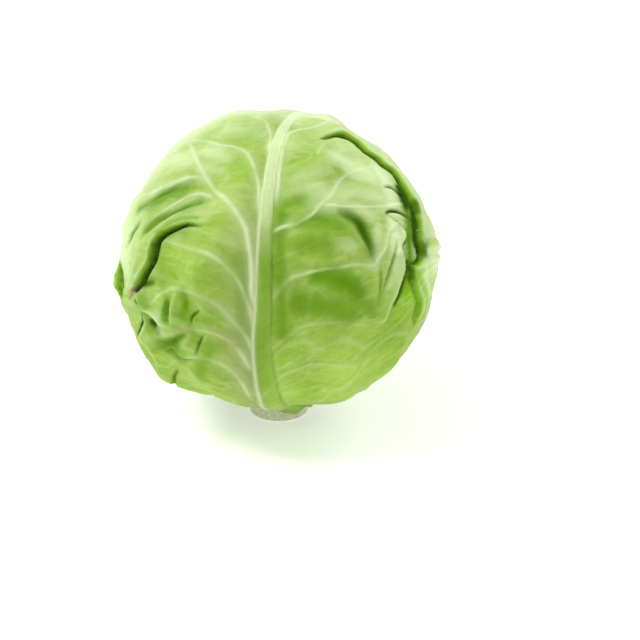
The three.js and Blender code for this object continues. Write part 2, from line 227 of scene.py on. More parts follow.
def lay_height(leaf, direction):
    """Height of a leaf's inner face above the inner head."""
    height = np.full(len(direction), CLEARANCE + leaf["loose"])
    for under in LEAVES[leaf["order"] + 1:]:
        along, sideways = angles_of(under, direction)
        width, rise = rib_at(under, (along - BASE_ANGLE) / (under["reach"] - BASE_ANGLE))
        x = np.minimum(np.abs(np.radians(sideways)) * INNER_RADIUS / (width * RIB_SHADOW), 1)
        height += cover(under, direction) * (LAYER + rise * (1 - x * x))
    return height


def surface_at(direction):
    """Point on the inner head's surface, and its outward normal."""
    below = direction[:, 2] < 0
    half = np.where(below, LOWER_HALF_HEIGHT, UPPER_HALF_HEIGHT)
    power = np.where(below, LOWER_FULLNESS, UPPER_FULLNESS)
    across = np.hypot(direction[:, 0], direction[:, 1]) + 1e-9
    flat = across / INNER_RADIUS
    tall = np.abs(direction[:, 2]) / half
    reach = (flat ** power + tall ** power) ** (-1 / power)
    slope = flat ** (power - 1) / INNER_RADIUS / across
    normal = np.stack([direction[:, 0] * slope, direction[:, 1] * slope,
                       np.sign(direction[:, 2]) * tall ** (power - 1) / half], axis=1)
    return CENTRE + direction * reach[:, None], unit(normal)


# Degrees between the entries of the table of the outermost leaf's folds
LIFT_STEP = 1.0

# The camera, and where a pixel of the photograph falls on the head
VIEW_FORWARD = np.array([0.0, math.cos(ELEVATION), -math.sin(ELEVATION)])
VIEW_RIGHT = np.array([1.0, 0.0, 0.0])
VIEW_UP = np.array([0.0, math.sin(ELEVATION), math.cos(ELEVATION)])
FIELD = SENSOR / LENS
MM_PER_PIXEL = FIELD * DISTANCE / PHOTO_SIZE
CAMERA = (CENTRE - VIEW_FORWARD * DISTANCE
          - VIEW_RIGHT * (HEAD_PIXEL[0] - PHOTO_SIZE / 2) * MM_PER_PIXEL
          + VIEW_UP * (HEAD_PIXEL[1] - PHOTO_SIZE / 2) * MM_PER_PIXEL)


def lift_at(leaf, direction):
    """How much the folds and swells raise the outermost leaf, read from the table made of them."""
    if leaf["order"] > 0 or "lift" not in leaf:
        return 0.0
    along, sideways = angles_of(leaf, direction)
    table = leaf["lift"]
    row = np.clip(along / LIFT_STEP, 0, table.shape[0] - 1.001)
    column = np.clip((sideways + 90) / LIFT_STEP, 0, table.shape[1] - 1.001)
    i, j = row.astype(int), column.astype(int)
    a, b = row - i, column - j
    return ((table[i, j] * (1 - b) + table[i, j + 1] * b) * (1 - a)
            + (table[i + 1, j] * (1 - b) + table[i + 1, j + 1] * b) * a)


def directions_of_pixels(pixels, leaf, raised=0.0):
    """Directions from the head's centre to where pixels fall on a leaf's raised outer face, or nearest to it."""
    offset = (np.array(pixels, dtype=float) / PHOTO_SIZE - 0.5) * FIELD
    ray = unit(VIEW_FORWARD + offset[:, :1] * VIEW_RIGHT - offset[:, 1:] * VIEW_UP)
    nearest = (ray @ (CENTRE - CAMERA))
    low = nearest - 130
    high = nearest.copy()
    for _ in range(24):
        middle = (low + high) / 2
        point = CAMERA + ray * middle[:, None] - CENTRE
        direction = unit(point)
        surface, normal = surface_at(direction)
        height = lay_height(leaf, direction) + BLADE + raised + lift_at(leaf, direction)
        outer = surface + normal * height[:, None] - CENTRE
        outside = np.linalg.norm(point, axis=1) > np.linalg.norm(outer, axis=1)
        low = np.where(outside, middle, low)
        high = np.where(outside, high, middle)
    return unit(CAMERA + ray * high[:, None] - CENTRE)


def smooth_path(points, steps=8):
    """A smooth curve through points, as more points."""
    points = np.array(points, dtype=float)
    padded = np.vstack([2 * points[0] - points[1], points, 2 * points[-1] - points[-2]])
    pieces = []
    for k in range(len(points) - 1):
        a, b, c, d = padded[k:k + 4]
        t = np.linspace(0, 1, steps, endpoint=False)[:, None]
        pieces.append(0.5 * (2 * b + (c - a) * t + (2 * a - 5 * b + 4 * c - d) * t ** 2
                             + (3 * b - a - 3 * c + d) * t ** 3))
    return np.vstack(pieces + [points[-1:]])


def measure_to_path(direction, path):
    """Distance from a path on the head, the share of the path passed, the signed distance (positive on the path's
    left), how far beyond an end, and the way to the path's left. Distances are in millimetres."""
    count = len(direction)
    best = np.full(count, 1e9)
    share = np.zeros(count)
    signed = np.zeros(count)
    beyond = np.zeros(count)
    way = np.zeros((count, 3))
    lengths = np.linalg.norm(np.diff(path, axis=0), axis=1)
    passed = np.concatenate([[0], np.cumsum(lengths)])
    last = len(path) - 2
    for k in range(len(path) - 1):
        step = path[k + 1] - path[k]
        left = unit(np.cross(path[k], step))
        offset = direction - path[k]
        free = offset @ step / (step @ step)
        t = np.clip(free, 0, 1)
        distance = np.linalg.norm(offset - t[:, None] * step, axis=1)
        nearer = distance < best
        best[nearer] = distance[nearer]
        share[nearer] = ((passed[k] + t * lengths[k]) / passed[-1])[nearer]
        signed[nearer] = (np.sign(offset @ left) * distance)[nearer]
        over = np.where(free < 0, -free if k == 0 else 0, np.where(free > 1, free - 1 if k == last else 0, 0))
        beyond[nearer] = (over * lengths[k])[nearer]
        way[nearer] = left
    return best * OUTER_RADIUS, share, signed * OUTER_RADIUS, beyond * OUTER_RADIUS, way


def near_path(direction, path, margin):
    """Which directions can lie within a margin in millimetres of a path."""
    middle = unit(path.mean(axis=0))
    reach = math.acos(min(np.min(path @ middle), 1.0)) + margin / OUTER_RADIUS
    return np.flatnonzero(direction @ middle > math.cos(min(reach, math.pi)))


# Folds of the outermost leaf, as pixels of the photograph: the crest, and at equal steps along it how high the
# side on its left stands above the other, how wide its steep side is, how far it hangs over, and how much its edge
# waves; then how far the height spreads, all in millimetres, how dark the painted shadow at the foot is and how pale
# the painted highlight on the crest
FOLD_PIXELS = [
    dict(crest=[(325, 137), (334, 134), (346, 133), (356, 138), (364, 145), (372, 153), (381, 160), (388, 166),
                (397, 174), (404, 183), (411, 194), (416, 205), (420, 216), (422, 227), (421, 238), (422, 248),
                (422, 258), (418, 266), (413, 268), (414, 278), (418, 289), (422, 300), (419, 318)],
         rise=(1.0, 2.3, 2.4, 2.4, 2.4, 2.4, 2.2, 2.4, 2.2), wall=(1.8, 2.8, 2.6, 2.3, 2.1, 1.9, 1.8, 2.0, 2.4),
         overhang=(0.8, 1.5, 1.4, 1.1, 0.9, 0.8, 0.8, 0.8, 0.8), wave=(0.0, 0.2), spread=14,
         shade=(0.8, 0.8, 0.8, 0.8, 0.8, 0.75, 0.7, 0.3, 0.15), pale=0.45),
    dict(crest=[(132, 288), (137, 279), (143, 269), (148, 259), (150, 249), (153, 240), (161, 232), (175, 226),
                (187, 223), (200, 225)],
         rise=(2.6, 3.4, 3.4, 3.0, 2.2, 0.5), wall=(1.5, 1.7, 1.7, 1.6, 1.4, 1.2),
         overhang=(0.2, 0.2, 0.2, 0.2, 0.2, 0.1), wave=(0.1, 0.0), spread=26, shade=(1.0, 1.0), pale=0.35),
    dict(crest=[(384, 322), (390, 308), (396, 297), (401, 281), (405, 268), (404, 257), (402, 247), (406, 240),
                (405, 231), (398, 224)],
         rise=(2.6, 2.8, 2.4, 1.6), wall=(1.5, 1.5, 1.4, 1.2), overhang=(1.2, 1.2, 1.0, 0.6), wave=(0.2, 0.2),
         spread=9, shade=(1.0, 0.9, 0.8), pale=0.3),
    dict(crest=[(137, 302), (143, 311), (145, 321), (142, 331), (140, 337), (144, 344), (149, 351), (155, 362)],
         rise=(1.6, 2.6, 2.6, 1.4), wall=(1.4, 1.6, 1.6, 1.4), overhang=(0.8, 1.2, 1.2, 0.8), wave=(0.1, 0.1), spread=8,
         shade=(1.0, 1.0), pale=0.4),
    dict(crest=[(121, 293), (118, 286), (117, 276), (119, 267)],
         rise=(1.2, 3.4, 3.4, 1.2), wall=(1.4, 1.8, 1.8, 1.4), overhang=(0.6, 1.0, 1.0, 0.6), wave=(0.0, 0.0), spread=6,
         shade=(0.7, 0.7), pale=0.3),
]
# Small ridges and creases of the same leaf, the creases painted in shade and the ridges with a painted highlight:
# height in millimetres (below 0 for a crease), half width, path
WRINKLES = [
    (2.2, 1.3, [(138, 299), (143, 308), (151, 312), (157, 317), (162, 323), (171, 328)]),
    (-2.2, 2.6, [(150, 319), (153, 325), (157, 329)]),
    (1.6, 1.3, [(177, 292), (174, 306), (173, 317), (172, 327)]),
    (1.2, 1.2, [(167, 297), (164, 309), (162, 320)]),
    (-1.6, 1.5, [(170, 299), (168, 310), (167, 321)]),
    (-1.4, 3.4, [(184, 293), (186, 303), (184, 315)]),
    (-1.8, 0.9, [(200, 310), (192, 317), (191, 324)]),
    (1.6, 2.6, [(143, 338), (154, 338), (164, 336), (174, 333), (183, 329)]),
    (-1.7, 2.2, [(157, 349), (167, 345), (176, 340), (186, 335)]),
    (-1.4, 2.4, [(164, 349), (169, 351), (174, 350)]),
    (1.5, 1.8, [(191, 337), (185, 345), (181, 356)]),
    (-1.7, 1.0, [(203, 336), (199, 345), (196, 355)]),
    (-1.2, 0.9, [(193, 359), (185, 360), (176, 357)]),
    (-1.8, 1.0, [(173, 385), (172, 376), (178, 368)]),
    (1.0, 1.2, [(142, 213), (152, 206), (161, 200), (170, 195)]),
    (-1.5, 2.4, [(140, 206), (151, 201), (163, 194), (176, 188), (192, 185)]),
    (-1.5, 2.2, [(148, 230), (162, 219), (176, 211), (190, 205), (204, 203)]),
    (1.4, 1.8, [(141, 248), (152, 234), (167, 222), (186, 211), (206, 205)]),
    (1.2, 1.4, [(141, 240), (139, 252), (136, 264), (132, 278), (127, 290)]),
    (-1.0, 2.0, [(128, 246), (133, 234), (140, 222)]),
    (-1.3, 2.2, [(140, 285), (149, 283), (156, 280)]),
    (-1.7, 0.9, [(386, 189), (392, 189), (398, 193), (404, 199)]),
    (-2.1, 0.9, [(387, 215), (392, 212), (401, 214), (409, 221)]),
    (1.0, 1.2, [(391, 209), (398, 207), (405, 206)]),
    (-2.0, 3.6, [(344, 214), (360, 224), (368, 240), (374, 257)]),
    (1.2, 1.6, [(352, 226), (357, 236), (365, 249), (373, 261)]),
    (0.8, 1.1, [(400, 240), (397, 255), (391, 272), (387, 289), (384, 305)]),
    (-0.8, 0.9, [(397, 242), (393, 258), (387, 276), (381, 296)]),
    (0.7, 1.1, [(375, 266), (374, 280), (374, 295), (372, 308)]),
    (-0.8, 1.2, [(380, 266), (380, 285), (377, 303)]),
    (0.8, 1.2, [(396, 237), (392, 253), (385, 270)]),
    (0.8, 1.0, [(122, 259), (135, 263)]),
    (1.2, 0.9, [(425, 243), (431, 242), (436, 241)]),
    (-0.9, 5.0, [(303, 222), (322, 220), (338, 228)]),
    (0.7, 3.0, [(310, 236), (330, 244), (346, 250)]),
    (-1.2, 6.0, [(318, 276), (340, 280), (360, 298)]),
    (0.8, 3.5, [(302, 282), (326, 291), (345, 306)]),
    (-0.7, 4.0, [(288, 204), (312, 198)]),
    (0.6, 4.0, [(298, 178), (318, 166), (330, 152)]),
]
# Broad swells of the same leaf: height (below 0 for a hollow), half width, path
SWELLS = [
    (1.4, 20.0, [(388, 152), (402, 168), (412, 184)]),
    (3.8, 15.0, [(136, 344), (152, 372)]),
    (2.0, 12.0, [(432, 248), (434, 272)]),
    (2.2, 24.0, [(252, 112), (280, 110)]),
    (-2.6, 22.0, [(120, 230), (126, 205), (142, 180)]),
    (-3.8, 14.0, [(322, 112), (342, 121), (360, 131)]),
    (1.4, 9.0, [(186, 250), (205, 275)]),
    (1.2, 10.0, [(300, 180), (330, 165)]),
    (1.0, 9.0, [(310, 240), (340, 250)]),
]
# Places where the same leaf is a more saturated green, lies in painted deep shadow, or is painted darker green
# for shade or paler green for light: how much, half width, path
SATURATED_PLACES = [
    (0.95, 3.4, [(119, 266), (120, 281), (121, 292)]),
    (0.95, 7.0, [(400, 302), (409, 292), (419, 300)]),
    (0.9, 4.0, [(416, 270), (418, 282), (424, 292)]),
    (0.8, 3.0, [(410, 268), (408, 282), (404, 294)]),
    (0.7, 1.3, [(425, 244), (431, 243), (437, 241)]),
    (0.35, 7.0, [(246, 140), (240, 156), (244, 178)]),
    (0.4, 6.0, [(320, 150), (306, 165)]),
]
# Painted shadow: near-black green in the crevices at the folds' feet and under the leaf's margins
PAINTED_SHADOW_PLACES = [
    (1.0, 2.4, [(400, 190), (403, 196), (405, 202), (407, 208)]),
    (0.95, 2.5, [(409, 206), (411, 213), (412, 222), (413, 232), (413, 241), (415, 252)]),
    (0.85, 1.2, [(406, 262), (405, 272), (401, 284), (399, 292), (394, 304)]),
    (0.8, 1.4, [(407, 266), (410, 278)]),
    (0.9, 1.6, [(137, 301), (143, 309), (145, 318), (143, 328), (140, 335)]),
    (0.5, 2.0, [(142, 284), (152, 283)]),
    (1.0, 1.3, [(158, 246), (157, 256), (154, 267), (149, 276)]),
]
# Painted shade: darker green in hollows, beside the midrib's right side, under ridges and on crevice floors
PAINTED_SHADE_PLACES = [
    (0.6, 4.5, [(286, 206), (302, 203)]),
    (0.85, 3.8, [(343, 216), (358, 224), (366, 238), (371, 254)]),
    (0.7, 6.0, [(303, 225), (335, 224)]),
    (0.5, 6.0, [(285, 246), (325, 252)]),
    (0.95, 7.0, [(318, 277), (340, 280), (358, 294)]),
    (0.8, 9.0, [(296, 302), (325, 306), (350, 314)]),
    (0.75, 5.0, [(283, 335), (281, 280), (280, 240), (282, 215)]),
    (0.7, 6.0, [(352, 300), (368, 306)]),
    (1.0, 2.9, [(406, 208), (408, 222), (408, 240), (408, 262), (408, 282), (403, 292)]),
    (0.85, 3.6, [(139, 210), (152, 204), (165, 196), (184, 188)]),
    (0.9, 3.0, [(146, 232), (160, 220), (176, 212), (198, 204)]),
    (0.6, 1.4, [(158, 234), (166, 227), (180, 220), (196, 219)]),
    (0.7, 7.0, [(300, 246), (322, 244)]),
    (0.6, 5.0, [(186, 233), (172, 232)]),
    (0.95, 6.0, [(166, 343), (174, 346), (178, 356)]),
    (0.7, 5.0, [(152, 330), (160, 334)]),
    (0.5, 4.0, [(200, 346), (203, 352)]),
    (0.8, 3.0, [(168, 300), (167, 320)]),
    (0.8, 5.0, [(184, 294), (186, 305), (183, 316)]),
    (0.6, 5.0, [(212, 348), (200, 372)]),
    (0.75, 4.0, [(140, 300), (146, 306), (147, 318)]),
    (0.4, 5.0, [(190, 326), (196, 340)]),
    (0.4, 6.0, [(292, 262), (306, 274), (300, 288)]),
    (0.3, 6.0, [(160, 262), (163, 278)]),
    (0.35, 12.0, [(205, 275), (214, 308)]),
    (0.45, 5.0, [(241, 330), (243, 292), (240, 262)]),
]
# Painted light: paler green on the lit rims round the top and left, on the upper right and beside the folds
PAINTED_LIGHT_PLACES = [
    (0.35, 8.0, [(298, 186), (325, 166)]),
    (0.3, 9.0, [(290, 148), (322, 150)]),
    (0.75, 9.0, [(338, 160), (352, 168), (372, 176)]),
    (0.5, 8.0, [(310, 196), (336, 196), (362, 194), (386, 198)]),
    (0.45, 6.0, [(322, 210), (344, 206), (372, 216)]),
    (0.5, 4.0, [(379, 228), (376, 246), (374, 264)]),
    (0.4, 8.0, [(228, 130), (258, 134)]),
    (0.4, 6.0, [(200, 170), (218, 172)]),
    (0.5, 5.0, [(150, 198), (164, 190), (182, 184)]),
    (0.35, 5.0, [(176, 236), (192, 228)]),
    (0.5, 3.5, [(160, 318), (161, 331)]),
    (0.95, 5.0, [(378, 170), (387, 184), (392, 200), (395, 212)]),
    (0.95, 4.0, [(392, 222), (397, 236), (397, 252)]),
    (0.9, 2.6, [(400, 226), (401, 246)]),
    (0.5, 4.0, [(398, 262), (392, 290)]),
    (0.3, 4.0, [(340, 247), (354, 249)]),
    (0.6, 7.0, [(203, 152), (226, 158)]),
    (0.6, 9.0, [(146, 172), (186, 163)]),
    (0.35, 8.0, [(172, 212), (186, 207), (200, 212)]),
    (0.95, 8.0, [(292, 117), (312, 118), (340, 122), (362, 134)]),
    (0.65, 12.0, [(124, 250), (129, 215), (148, 170), (178, 138), (214, 119)]),
    (0.8, 10.0, [(214, 119), (258, 112), (300, 114)]),
    (1.0, 7.0, [(386, 146), (407, 170), (423, 196), (432, 220), (435, 262)]),
    (0.9, 4.5, [(423, 272), (426, 286), (430, 302)]),
]
SCAR_PLACES = [
    (0.8, 1.1, [(130, 299), (133, 292), (139, 286)]),
    (0.5, 0.8, [(127, 297), (131, 290)]),
    (0.35, 2.2, [(212, 330), (225, 336), (236, 346)]),
    (0.3, 2.0, [(206, 300), (221, 307), (232, 318)]),
    (0.4, 2.0, [(176, 330), (192, 327)]),
]


def steps_along(values, share):
    """The value at a share of a path, from values at equal steps along it."""
    return np.interp(share, np.linspace(0, 1, len(values)), values)


def fold_shape(fold, direction):
    """A fold's height, how far its crest slides over, and masks for the painted shadow at its foot, its steep side and
    the painted highlight on its crest.
    """
    _, share, signed, beyond, way = measure_to_path(direction, fold["path"])
    rise, wall, overhang, waves = (steps_along(fold[key], share) for key in ("rise", "wall", "overhang", "wave"))
    length = np.linalg.norm(np.diff(fold["path"], axis=0), axis=1).sum() * OUTER_RADIUS
    ends = np.exp(-(beyond / 5) ** 2)
    signed = signed - 0.9 * overhang
    signed = signed + waves * np.sin(share * length / 2.6) + 0.5 * waves * np.sin(share * length / 1.1)
    high_side = np.exp(-(signed / fold["spread"]) ** 2)
    low_side = 1 - smoothstep(-signed, 0, wall)
    valley = np.exp(-((signed + wall * 1.35) / (wall * 0.6)) ** 2)
    roll = 0.18 * rise * np.exp(-((signed - 0.4 * wall) / (0.5 * wall)) ** 2)
    height = rise * np.where(signed > 0, high_side, low_side) + roll - np.minimum(rise * 0.5, 1.6) * valley
    slide = -way * (ends * overhang * np.exp(-((signed + 0.1 * wall) / (wall * 0.62)) ** 2))[:, None]
    strong = ends * np.minimum(rise / 2, 1)
    # Painted shadow in the valley at the fold's foot
    painted_shadow = strong * steps_along(fold["shade"], share) * np.exp(-((signed + wall * 1.15) / (wall * 0.42 + 0.5)) ** 4)
    # A more saturated green on the steep side
    saturated = strong * np.exp(-((signed + wall * 0.4) / (wall * 0.5)) ** 2)
    # Painted highlight along the crest
    crest = fold["pale"] * strong * np.exp(-((signed - 0.3 * wall) / (0.32 * wall)) ** 2)
    return ends * height, slide, painted_shadow, saturated, crest


def lay_folds(leaf):
    """Lays the swells and folds of the outermost leaf and keeps their height as a table."""
    for swell in SWELLS:
        leaf.setdefault("swells", []).append(unit(smooth_path(directions_of_pixels(swell[2], leaf))))
    along, sideways = np.meshgrid(np.arange(0, 226, LIFT_STEP), np.arange(-90, 91, LIFT_STEP), indexing="ij")
    direction = direction_at(leaf, along.ravel(), sideways.ravel())
    lift = swell_height(leaf, direction)
    leaf["lift"] = lift.reshape(along.shape)
    for fold in FOLD_PIXELS:
        pixels = np.array(fold["crest"], dtype=float)
        passed = np.concatenate([[0], np.cumsum(np.linalg.norm(np.diff(pixels, axis=0), axis=1))])
        raised = steps_along(fold["rise"], passed / passed[-1])
        fold["path"] = unit(smooth_path(directions_of_pixels(pixels, leaf, raised)))
    for fold in FOLD_PIXELS:
        lift = lift + fold_shape(fold, direction)[0]
    leaf["lift"] = lift.reshape(along.shape)


def swell_height(leaf, direction):
    height = np.zeros(len(direction))
    for (amount, half_width, _), path in zip(SWELLS, leaf["swells"]):
        near = near_path(direction, path, 3 * half_width)
        height[near] += amount * np.exp(-(measure_to_path(direction[near], path)[0] / half_width) ** 2)
    return height


def twigs(path, rng, spacing, length):
    """Short fine veins that leave a side vein on both sides by turns."""
    steps = np.linalg.norm(np.diff(path, axis=0), axis=1) * OUTER_RADIUS
    passed = np.concatenate([[0], np.cumsum(steps)])
    found = []
    side = 1
    for at in np.arange(spacing, passed[-1] - 2, spacing):
        at = at + rng.uniform(-0.3, 0.3) * spacing
        k = min(int(np.searchsorted(passed, at)), len(path) - 1)
        ahead = unit(path[k] - path[k - 1])
        aside = np.cross(path[k], ahead) * side
        reach = length * rng.uniform(0.6, 1.2) / OUTER_RADIUS
        turn = rng.uniform(0.5, 0.9)
        t = np.linspace(0, 1, 5)[:, None]
        way = aside * t * turn + ahead * t * (1.1 - turn * 0.5) + ahead * t ** 2 * rng.uniform(-0.3, 0.3)
        found.append(unit(path[k] + way * reach))
        side = -side
    return found


def rib_paths(leaf):
    """The midrib and the side veins of a leaf, as paths of directions with their height and half width."""
    if leaf["order"] == 0:
        root = direction_at(leaf, np.array([10.0, 22, 34]), np.array([0.0, 0, 0]))
        tip = direction_at(leaf, np.array([206.0, 211]), np.array([12.5, 13]))
        seen = directions_of_pixels(RIB_PIXELS, leaf)
        rib = unit(smooth_path(np.vstack([root, seen, tip])))
        rng = np.random.default_rng(39)
        veins = []
        for height, width, paleness, pixels in VEINS:
            path = unit(smooth_path(directions_of_pixels(pixels, leaf)))
            veins.append((path, height, width, paleness))
            for twig in twigs(path, rng, 12, 11):
                veins.append((twig, 0.25, 0.9, 0.3 * paleness))
        return rib, veins
    along = np.linspace(BASE_ANGLE + 1, leaf["reach"] - 2, 14)
    wander = 1.5 * np.sin(along / 30 + leaf["order"])
    rib = unit(smooth_path(direction_at(leaf, along, wander)))
    rng = np.random.default_rng(40 + leaf["order"])
    veins = []
    length = leaf["reach"] - BASE_ANGLE
    for sign in (-1, 1):
        count = leaf["veins"] + 1
        for k in range(count):
            start = 0.06 + 0.8 * (k + (0.5 if sign > 0 else 0)) / count + rng.uniform(-0.015, 0.015)
            turn = math.pi * (1 - min(start + 0.02, 0.99) ** 0.62)
            end_u, end_v = math.cos(turn) * 0.96, math.sin(turn) * 0.96
            t = np.linspace(0, 1, 7)
            bend = rng.uniform(0.9, 1.4)
            u = (2 * start - 1) + (end_u - (2 * start - 1)) * t ** 0.8
            v = end_v * t ** bend
            a = leaf["middle"] + leaf["half"] * u
            s = sign * v * half_spread(leaf, u, sign)
            s = s + 1.5 * np.sin(7 * t + k)
            s[0] = 1.5 * math.sin(a[0] / 30 + leaf["order"])
            path = unit(smooth_path(direction_at(leaf, a, s)))
            veins.append((path, 1.1, 1.5, 0.85))
            for twig in twigs(path, rng, 11, 13):
                veins.append((twig, 0.3, 0.8, 0.35))
            fork = 3
            fork_a = a[fork] + np.array([0, 5, 9, 11]) * (1 if k % 2 else -0.4)
            fork_s = s[fork] + (s[-1] - s[fork]) * np.array([0, 0.3, 0.62, 0.95])
            veins.append((unit(smooth_path(direction_at(leaf, fork_a, fork_s))), 0.7, 1.0, 0.6))
    return rib, veins


def grid_corners(rows, columns):
    """Corners of a grid laid over a disc, as distances along (u) and across (v) from its middle."""
    x, y = np.meshgrid(np.linspace(-1, 1, rows), np.linspace(-1, 1, columns), indexing="ij")
    return (x * np.sqrt(1 - y * y / 2)).ravel(), (y * np.sqrt(1 - x * x / 2)).ravel()


def clear_of_stem(direction):
    """Directions drawn outward near the bottom, so that a leaf ends at the stem."""
    polar = np.degrees(np.arccos(np.clip(-direction[:, 2], -1, 1)))
    share = np.clip((polar - 8) / (OPEN_ANGLE - 8), 0, 1)
    moved = np.radians(np.where(polar < OPEN_ANGLE, STEM_ANGLE + (OPEN_ANGLE - STEM_ANGLE) * share, polar))
    across = np.maximum(np.hypot(direction[:, 0], direction[:, 1]), 1e-6)
    return np.stack([direction[:, 0] / across * np.sin(moved), direction[:, 1] / across * np.sin(moved),
                     -np.cos(moved)], axis=1)


def rib_relief(leaf, direction, rib):
    """Height and paleness of the midrib: a broad keel whose left edge, and right edge towards the top, carry a painted
    highlight, with a groove on its right that is painted in shadow.
    """
    distance, share, signed, _, _ = measure_to_path(direction, rib)
    width, rise = rib_at(leaf, share)
    width = width * 0.6
    body = np.exp(-(distance / width) ** 4)
    left_ridge_highlight = np.exp(-((signed - 0.92 * width) / (0.3 * width)) ** 2)
    right_ridge_highlight = np.exp(-((signed + 0.75 * width) / (0.26 * width)) ** 2)
    groove = np.exp(-((signed + 1.05 * width) / (0.15 * width)) ** 2)
    height = rise * np.exp(-(distance / width) ** 2.6) + 0.45 * left_ridge_highlight + 0.2 * right_ridge_highlight - 0.5 * groove
    upper = smoothstep(share, 0.5, 0.68)
    height *= 1 - 0.5 * smoothstep(share, 0.55, 0.8)
    pale = np.maximum((0.04 + 0.62 * upper ** 0.7) * body, np.maximum(left_ridge_highlight * (0.52 + 0.36 * upper), right_ridge_highlight * 0.9 * upper))
    return height, pale, signed, np.exp(-(distance / width) ** 2) * rise, groove * (1 - upper), body * (1 - upper) ** 2


def shape_leaf(leaf, rib, veins, rows, columns, outer):
    """Corner points of one face of a leaf, with the colour masks that its material reads."""
    u, v = grid_corners(rows, columns)
    turn = np.arctan2(v, u)
    radius = np.hypot(u, v)
    stretch = 1 + (edge_of(leaf, turn) - 1) * radius ** 2
    u = u * stretch
    v = v * stretch
    along = leaf["middle"] + leaf["half"] * u
    sideways = v * half_spread(leaf, np.clip(u, -1, 1), v)
    direction = direction_at(leaf, along, sideways)
    placed = clear_of_stem(direction)
    point, normal = surface_at(placed)

    waver = np.stack([lattice_noise(direction * OUTER_RADIUS, 11, seed) for seed in (81, 82, 83)], axis=1)
    drawn = unit(direction + waver * 0.9 / OUTER_RADIUS)
    relief, pale, rib_signed, crest, groove, rib_green = rib_relief(leaf, direction, rib)
    uneven = 0.8 + 0.3 * lattice_noise(direction * OUTER_RADIUS, 7, 84)
    nearest_vein = np.abs(rib_signed)
    for path, height, half_width, paleness in veins:
        near = near_path(drawn, path, 22)
        if len(near) == 0:
            continue
        distance, share, _, beyond, _ = measure_to_path(drawn[near], path)
        fade = (0.3 + 0.7 * (1 - share) ** 0.7) * smoothstep(share, -0.02, 0.1) * np.exp(-(beyond / 2) ** 2)
        w = half_width * (1 - 0.5 * share) * (0.85 + 0.25 * uneven[near])
        ridge = height * fade * np.exp(-(distance / w) ** 2) + 0.5 * crest[near]
        relief[near] = np.maximum(relief[near], ridge)
        right = np.where(rib_signed[near] < 0, np.exp(-(rib_signed[near] / 20) ** 2), 0)
        right = right * (1 - smoothstep(along[near], 105, 125))
        shown = 0.95 * paleness * (1 - 0.5 * right)
        line = shown * fade ** 0.5 * uneven[near] * np.exp(-(distance / w) ** 2)
        halo = 0.35 * shown * fade * np.exp(-(distance / (w * 2.6)) ** 2)
        pale[near] = np.maximum(pale[near], np.maximum(line, halo))
        if height > 0.5:
            nearest_vein[near] = np.minimum(nearest_vein[near], distance)

    height = lay_height(leaf, placed)
    free = np.ones(len(direction))
    for over in LEAVES[:leaf["order"]]:
        free = np.minimum(free, 1 - cover(over, placed, 1.3))
    _, edge = leaf_place(leaf, along, sideways)
    wave = 0.55 + 0.45 * np.sin(leaf["waves"] * 1.4 * turn + leaf["order"])
    ruffle = 0.5 * np.sin(leaf["waves"] * 4.3 * turn) * smoothstep(edge, 0.88, 1)
    calm = smoothstep(along, 80, 110) if leaf["order"] == 0 else smoothstep(along, 30, 60)
    height += (leaf["flare"] * wave * smoothstep(edge, 0.72, 1) + ruffle) * calm * free
    quilt = 0.7 * (1 - np.exp(-(nearest_vein / 7) ** 2))
    broad = 1.0 * lattice_noise(direction * OUTER_RADIUS, 34, leaf["order"])
    broad += 0.5 * lattice_noise(direction * OUTER_RADIUS, 16, 10 + leaf["order"])
    fine = 0.2 * lattice_noise(direction * OUTER_RADIUS, 9, 20 + leaf["order"])
    side_mm = np.radians(sideways) * OUTER_RADIUS
    along_mm = np.radians(along) * OUTER_RADIUS
    streak_place = np.stack([(along_mm - 0.6 * np.abs(side_mm)) / 5.5, side_mm / 30, 0 * side_mm], axis=1)
    streaks = 0.42 * lattice_noise(streak_place, 1.0, 50 + leaf["order"]) * smoothstep(nearest_vein, 1, 5)
    wander = lattice_noise(direction * OUTER_RADIUS, 13, 30 + leaf["order"])
    thread_place = np.stack([(along_mm - 0.35 * np.abs(side_mm) + 3 * wander) / 9, side_mm / 26, 0 * side_mm], axis=1)
    threads = np.exp(-(lattice_noise(thread_place, 1.0, 60 + leaf["order"]) / 0.09) ** 2) * smoothstep(nearest_vein, 1, 4)
    crumple = 0.12 * lattice_noise(direction * OUTER_RADIUS, 4.5, 35 + leaf["order"]) + 0.28 * threads
    height += (quilt + broad + fine + streaks + crumple) * (0.25 + 0.75 * free) * smoothstep(along, 14, 40)
    pale = np.maximum(pale, 0.16 * threads * uneven)

    # Painted shadow along the groove on the midrib's right side
    painted_shadow = 0.4 * groove * (0.6 + 0.4 * lattice_noise(direction * OUTER_RADIUS, 9, 61))
    scar = np.zeros(len(direction))
    saturated = np.zeros(len(direction))
    # The midrib's lower body is painted a darker green; the same mask carries the painted shade
    dark_rib_and_painted_shade = 0.55 * rib_green * smoothstep(along, 40, 70)
    # Painted light, set from the places of painted light below
    light = np.zeros(len(direction))
    slide = np.zeros((len(direction), 3))
    if leaf["order"] == 0:
        height += swell_height(leaf, direction)
        for fold in FOLD_PIXELS:
            rise, moved, shade, steep, top = fold_shape(fold, direction)
            height += rise
            slide += moved
            painted_shadow = np.maximum(painted_shadow, shade)
            saturated = np.maximum(saturated, steep)
